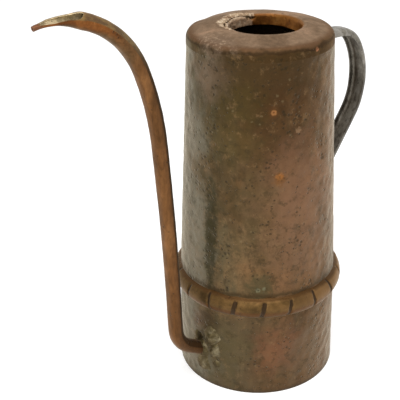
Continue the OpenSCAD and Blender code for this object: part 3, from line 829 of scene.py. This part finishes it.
def advance(station, length, turn):
    """The next [out, up, heading] of a path, after a straight or an evenly curved length."""
    out, up, heading = station
    start = math.radians(heading)
    if abs(turn) < 0.01:
        return (out + length * math.cos(start), up + length * math.sin(start), heading)
    end, radius = math.radians(heading + turn), length / math.radians(turn)
    return (out + radius * (math.sin(end) - math.sin(start)),
            up + radius * (math.cos(start) - math.cos(end)), heading + turn)


def walk(station, runs, step):
    """Stations along runs of [length, turn], about a step apart."""
    stations = [station]
    for length, turn in runs:
        start, count = stations[-1], max(1, round(length / step))
        stations += [advance(start, length * i / count, turn * i / count)
                     for i in range(1, count + 1)]
    return stations


def on_path(station, across, rise):
    """A point of a section that stands square on a path."""
    out, up, heading = station
    turn = math.radians(heading)
    return Vector((out - rise * math.sin(turn), across, up + rise * math.cos(turn)))


def arc(radius, turn):
    return radius * math.radians(turn)


def oval(half, turn_part, power):
    return half * math.copysign(abs(turn_part) ** (2 / power), turn_part)


def spout_mesh():
    root = (wall_radius(ROOT_HEIGHT * MM) / MM, ROOT_HEIGHT, ROOT_SLOPE)
    tube = walk(advance(root, -0.76, 0), [
        (0.7 + 11.7, 0), (arc(24, 88.9 - ROOT_SLOPE), 88.9 - ROOT_SLOPE), (142, -3.9),
        (arc(183, 15.9), -15.9), (arc(62.7, 50), -50)], 1.6)
    beak_rows, sides = 44, 48
    beak = [advance(tube[-1], BEAK_LENGTH * i / beak_rows, -BEAK_TURN * i / beak_rows)
            for i in range(1, beak_rows + 1)]
    shares = [0.0] * len(tube) + [i / beak_rows for i in range(1, beak_rows + 1)]
    outer, inner, creased, lift = [], [], [], []
    for station, share in zip(tube + beak, shares):
        heading = math.radians(station[2])
        sine, cosine = math.sin(heading), math.cos(heading)
        deep = SPOUT_DEEP + (TIP_DEEP - SPOUT_DEEP) * min(1.0, share * BEAK_LENGTH / LEAF) ** 1.2
        past = max(0.0, share * BEAK_LENGTH - LEAF) / (BEAK_LENGTH - LEAF)
        wide = TIP_WIDE + (SPOUT_WIDE - TIP_WIDE) * (1 - past) ** 2
        far_gap, near_gap = (float(np.interp(share, [g[0] for g in GAPS], [g[i] for g in GAPS]))
                             for i in (1, 2))
        for skin, inset in ((outer, 0.0), (inner, SPOUT_SHEET)):
            for side in range(sides + 1):
                turn = math.radians(far_gap + (360 - near_gap - far_gap) * side / sides)
                in_plane = oval(deep - inset, math.cos(turn), 2.5)
                across = oval(wide - inset, math.sin(turn), 2.5)
                # the seam's side is a low crown, which meets the flanks in a crease
                crease = 0.18 * (deep - inset)
                crown = crease + (deep - inset - crease) * (
                    1 - (abs(across) / (wide - inset)) ** 3)
                if skin is outer:
                    creased.append(1.0 if in_plane >= crown else 0.0)
                in_plane = min(in_plane, crown)
                if skin is outer:
                    lift.append(0.5 + 0.5 * in_plane / deep)
                elif share > 0:
                    # the trough is pressed shallow, soon after the seam opens
                    pressed = min(1.0, share / 0.06)
                    in_plane = max(in_plane, (0.18 * deep - 2.0) * pressed
                                   - (deep - inset) * (1 - pressed))
                point = on_path(station, across, in_plane)
                point.x *= -1
                uneven = 0.10 * noise.noise(point / 9) + 0.10 * noise.noise(point / 4)
                point += (uneven - 0.25) * Vector((in_plane * sine, across, in_plane * cosine)
                                                 ).normalized()
                skin.append(point * MM)
    return outer + inner, shell_faces(len(shares), sides + 1, open_row=len(tube) - 1), {
        "seam": creased, "inside": [0.0] * len(outer), "lift": lift}


def spout_finish():
    material, where = new_finish("brown_spout")
    away, height = part(where, "X"), part(where, "Z")
    colour, patches = tarnished(where * (1, 1, 0.35), 0.011, (84, 54, 27), (104, 68, 36),
                                (124, 84, 48), 0.16)
    cloud = grain(where, 0.02, 4.0) - 0.5
    out = away + cloud * 0.014
    colour = mixed(ramp(height, 0.055, 0.030, 0.0, 0.65), colour, (70, 48, 30))
    # olive gold past the crook, then orange copper on the upper part of the beak's flank
    gold, _ = tarnished(where, 0.01, (66, 48, 28), (88, 66, 41), (108, 82, 54), 0.2)
    colour = mixed(ramp(out, -0.098, -0.112, 0.0, 0.8), colour, gold)
    lift = stored(where, "lift")
    bare, _ = tarnished(where, 0.01, (98, 55, 22), (124, 73, 31), (140, 90, 45), 0.14)
    orange_flank = ramp(out, -0.104, -0.126) * ramp(lift + cloud * 0.8, 0.0, 0.34)
    colour = mixed(orange_flank, colour, bare)
    # the beak's underside near its tip is painted dark: painted shade
    under = ramp(away, -0.150, -0.158) * ramp(lift, 0.34, 0.12)
    colour = mixed(under * 0.8, colour, (60, 40, 26))
    # the seam's crown: painted shade where it faces the can, paler at the crook, with painted
    # reflections of the light along its top
    crown = mixed(ramp(height, 0.235, 0.268), (56, 38, 22), (84, 70, 50))
    crook_reflection = ramp(grain(where * (0.3, 1.0, 0.3), 0.0025, 4.0, 0.7), 0.42, 0.6)
    crown = mixed(crook_reflection * ramp(height, 0.25, 0.27), crown, (128, 106, 66))
    colour = mixed(stored(where, "seam") * 0.8, colour, crown)
    # the opened trough is tinned: dull olive grey, pitted, and brown again at the tip
    tinned, _ = tarnished(where, 0.006, (146, 132, 102), (188, 172, 138), (212, 196, 162),
                          0.26)
    colour = mixed(stored(where, "inside"), colour, tinned)
    colour = mixed(ramp(away, -0.1592, -0.1618), colour, (112, 74, 52))
    pits = pitted(where, 0.003, 0.5)
    colour = mixed(pits * 0.6, colour, (44, 32, 18))
    close_finish(colour, ramp(patches, 0.3, 0.7, 0.48, 0.38), 0.35,
                 grain(where, 0.0022, 4.0, 0.6) - pits, 0.00015, bloom=0.15)
    return material


spout_points, spout_faces, spout_marks = spout_mesh()
spout = sheet_piece("crooked_spout", spout_points, spout_faces, spout_finish(), sharp=40,
                    marks=spout_marks)
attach(spout, "root")
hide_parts("spout_tube")

# ---- Solder at the spout --------------------------------------------------------------------
# Soft solder holds the spout's root. It was run on thickly with an iron: a collar round the
# tube, a ridge above it, one big lump beside it, and a drip that froze on its way down.


SOLDER_SUNK, SOLDER_BACK = 0.8, 0.9


def lumpy_pad(name, middle, low, high, lumps, facing, material, step=0.55):
    """Solder on the wall. A lump is [across, up, radius, height] in mm from the joint."""
    columns = round((high[0] - low[0]) / step) + 1
    rows = round((high[1] - low[1]) / step) + 1
    skin, back = [], []
    for j in range(rows):
        for i in range(columns):
            across = low[0] + (high[0] - low[0]) * i / (columns - 1)
            up = low[1] + (high[1] - low[1]) * j / (rows - 1)
            ripple = Vector((across, up, 7.0))
            bent = (across + 1.1 * noise.noise(ripple / 3.1),
                    up + 1.1 * noise.noise(ripple / 2.7 + Vector((9, 0, 0))))
            swell = max(m[3] * (1 - ((bent[0] - m[0]) ** 2 + (bent[1] - m[1]) ** 2)
                                / m[2] ** 2) for m in lumps)
            swell = max(swell + 0.18 * noise.noise(ripple / 1.4), -SOLDER_SUNK)
            height = middle + up * MM
            for points, above in ((skin, swell), (back, -SOLDER_BACK)):
                radius = wall_radius(height) + above * MM
                turn = across * MM / wall_radius(middle)
                points.append(Vector((-facing * radius * math.cos(turn),
                                      -facing * radius * math.sin(turn), height)))
    return sheet_piece(name, skin + back, shell_faces(rows, columns), material, sharp=70)


def solder_finish():
    material, where = new_finish("old_solder")
    colour, _ = tarnished(where, 0.012, (46, 38, 22), (80, 70, 46), (122, 112, 88), 0.28)
    pits = pitted(where, 0.0025, 0.8)
    colour = mixed(pits * 0.7, colour, (48, 40, 26))
    skin = grain(where, 0.002, 6.0, 0.7)
    close_finish(colour, ramp(skin, 0.3, 0.7, 0.34, 0.52), 0.5, skin - pits, 0.0003)
    return material


SOLDER = solder_finish()
spout_solder = lumpy_pad("spout_solder_run", ROOT_HEIGHT * MM, (-14, -20), (20, 24), (
    (0, 0, 8.2, 2.6), (-2, 9, 4.5, 1.5), (11, 14, 6.5, 3), (11, 18.5, 4.2, 2.25),
    (14, 6, 3.6, 1.8), (14.3, 1.5, 4.4, 2.2), (15.4, -7.5, 3, 1.3), (3, -12, 5.5, 0.7),
    (-7, -3, 4.5, 1.1)), 1, SOLDER)
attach(spout_solder, "root")
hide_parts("spout_solder")

# ---- Handle ---------------------------------------------------------------------------------
# The handle is one strap of copper, dished lengthways into a gutter that is open towards the
# can, and bent by hand. Both ends are cut to the wall. It has gone grey and is dirty inside.
STRAP_WIDE, STRAP_DEEP, STRAP_SHEET, STRAP_TOP, STRAP_FALL = 13.7, 5, 1.0, 236.5, 3.2


def strap_arch(inset, sides):
    """The gutter's section: [across, up from the outer face]."""
    return [(oval(STRAP_WIDE / 2 - inset, math.cos(math.pi * i / sides), 3),
             oval(STRAP_DEEP - inset, math.sin(math.pi * i / sides), 3) - STRAP_DEEP)
            for i in range(sides + 1)]


def strap_mesh():
    sides = 22
    section = strap_arch(0.0, sides) + strap_arch(STRAP_SHEET, sides)[::-1]
    start = (wall_radius(STRAP_TOP * MM) / MM - 0.74, STRAP_TOP, -STRAP_FALL)
    path = walk(start, [(0.7 + 27.3, 0), (arc(28, 55.6), -55.6), (arc(54.8, 39.6), -39.6),
                        (arc(44.7, 28.8), -28.8)], 1.8)
    foot = path[-1]
    slope = math.radians(foot[2])
    reach = (foot[0] - JOINT_RADIUS / MM) / -math.cos(slope)
    path += [advance(foot, reach * i / 8, 0) for i in range(1, 9)]
    points = []
    along = Vector((math.cos(slope), 0, math.sin(slope)))
    for row, station in enumerate(path):
        for across, rise in section:
            point = on_path(station, across, rise)
            if row > len(path) - 9:
                # the straight foot is carried on until each point is inside the wall
                base = on_path(foot, across, rise)
                low, high = 0.0, 2 * reach
                for _ in range(30):
                    middle = (low + high) / 2
                    tried = base + along * middle
                    inside = math.hypot(tried.x, tried.y) < wall_radius(tried.z * MM) / MM - 0.6
                    low, high = (low, middle) if inside else (middle, high)
                point = base + along * high * (row - len(path) + 9) / 8
            points.append(point)
    uneven = []
    for point in points:
        sway = 0.25 * noise.noise(point / 14) * min(1.0, max(0.0, (point.x - 56) / 10))
        uneven.append((point + Vector((-abs(sway), 0.6 * sway, 0))) * MM)
    rows, columns = len(path), len(section)
    faces = []
    for row in range(0, (rows - 1) * columns, columns):
        for i in range(columns):
            across = (i + 1) % columns
            faces.append([row + i, row + across, row + columns + across, row + columns + i])
    for end, flip in ((0, True), ((rows - 1) * columns, False)):
        for i in range(sides):
            quad = [end + i, end + i + 1, end + columns - 2 - i, end + columns - 1 - i]
            faces.append(quad[::-1] if flip else quad)
    return uneven, faces


def strap_finish():
    material, where = new_finish("grey_strap")
    colour, patches = tarnished(where, 0.015, (90, 84, 72), (120, 114, 102), (146, 141, 132),
                                0.2)
    pits = pitted(where, 0.0035, 0.7)
    colour = mixed(pits * 0.6, colour, (44, 38, 28))
    # darker towards the bottom, with brown dirt in runs down the lower half
    height = part(where, "Z")
    colour = mixed(ramp(height, 0.206, 0.186, 0.0, 0.5), colour, (72, 64, 52))
    dirt = ramp(grain(where * (1.0, 1.0, 0.35), 0.005, 5.0, 0.7), 0.46, 0.60)
    colour = mixed(dirt * ramp(height, 0.208, 0.188, 0.1, 0.75), colour, (50, 40, 28))
    close_finish(colour, ramp(patches, 0.3, 0.7, 0.46, 0.34), 0.6,
                 grain(where, 0.0022, 5.0, 0.6) - pits, 0.00018, gloss=(1, 1, 1, 1), shine=0.5)
    return material


strap = sheet_piece("gutter_strap", *strap_mesh(), strap_finish(), sharp=40)
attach(strap, "root")
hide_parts("handle_strap")

# ---- Solder at the handle -------------------------------------------------------------------
# Both ends of the strap are soldered to the wall, with a low uneven fillet round each.
SIDE, FOOT_HEIGHT, FILLET_REACH = STRAP_WIDE / 2, 112.5, 5.6
for name, height, half in (("handle_top_solder", STRAP_TOP - 2.5, 2.5),
                           ("handle_foot_solder", FOOT_HEIGHT, 3.9)):
    corner = SIDE + FILLET_REACH, half + FILLET_REACH
    fillet = lumpy_pad(name + "_run", height * MM, (-corner[0], -corner[1]), corner, (
        (0, 0, SIDE + 2, 2.8), (SIDE, half / 2, 3.9, 1.7), (-SIDE, half / 2, 4.2, 2.0),
        (SIDE, -half / 2, 4.2, 1.4), (-SIDE, -half / 2, 3.6, 1.7)), -1, SOLDER)
    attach(fillet, "root")
    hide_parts(name)

# ---- Floor, light and camera ----------------------------------------------------------------
# A plain white floor in even light from softboxes overhead and at the front.


def seen_straight(tree):
    """1 for rays from the camera, in reflections and through glass, and 0 for other light."""
    camera, glossy, through = (
        add("ShaderNodeLightPath", None, "Is %s Ray" % kind, tree)
        for kind in ("Camera", "Glossy", "Transmission"))
    return calc("MAXIMUM", calc("MAXIMUM", camera, glossy), through)


def plain_finish():
    """White to the camera and in reflections, and pale enough elsewhere to keep a shadow."""
    material, where = new_finish("white_floor")
    show(add("ShaderNodeBsdfPrincipled", Base_Color=(0.8, 0.8, 0.8, 1), Roughness=0.9,
             Emission_Color=(1, 1, 1, 1), Emission_Strength=seen_straight(where.tree) * 0.42))
    return material


floor_mesh = bpy.data.meshes.new("floor")
floor_mesh.from_pydata([(-3, -3, 0), (3, -3, 0), (3, 3, 0), (-3, 3, 0)], [], [(0, 1, 2, 3)])
floor_mesh.materials.append(plain_finish())
floor = bpy.data.objects.new("floor", floor_mesh)
bpy.context.scene.collection.objects.link(floor)

world = bpy.data.worlds.new("studio")
bpy.context.scene.world = world
world.use_nodes = True
world.node_tree.nodes.clear()
show(add("ShaderNodeBackground", Color=(1, 1, 1, 1),
         Strength=ramp(seen_straight(world.node_tree), 0.0, 1.0, 0.55, 1.0)),
     "ShaderNodeOutputWorld")


def softbox(name, place, aim, size, power):
    lamp = bpy.data.lights.new(name, "AREA")
    lamp.shape, lamp.size, lamp.energy = "SQUARE", size, power
    made = bpy.data.objects.new(name, lamp)
    made.location = place
    made.rotation_euler = (Vector(aim) - Vector(place)).to_track_quat("-Z", "Y").to_euler()
    bpy.context.scene.collection.objects.link(made)


softbox("overhead", (-0.2, -0.3, 1.5), (0, 0, 0.1), 1.2, 16)
softbox("front_fill", (-1.2, -0.7, 0.8), (0, 0, 0.12), 0.9, 6)

scene = bpy.context.scene
scene.view_settings.view_transform = "Standard"
lens = bpy.data.cameras.new("camera")
lens.lens, lens.sensor_width = 79.03, 36
camera = bpy.data.objects.new("camera", lens)
HEADING, LOOK_DOWN, ROLL = 49.22, 27.18, -1.10
camera.matrix_world = Matrix.Translation((-0.39061, -0.39061, 0.40931))
for degrees, about in ((HEADING - 90, "Z"), (90 - LOOK_DOWN, "X"), (ROLL, "Z")):
    camera.matrix_world @= Matrix.Rotation(math.radians(degrees), 4, about)
scene.collection.objects.link(camera)
scene.camera = camera
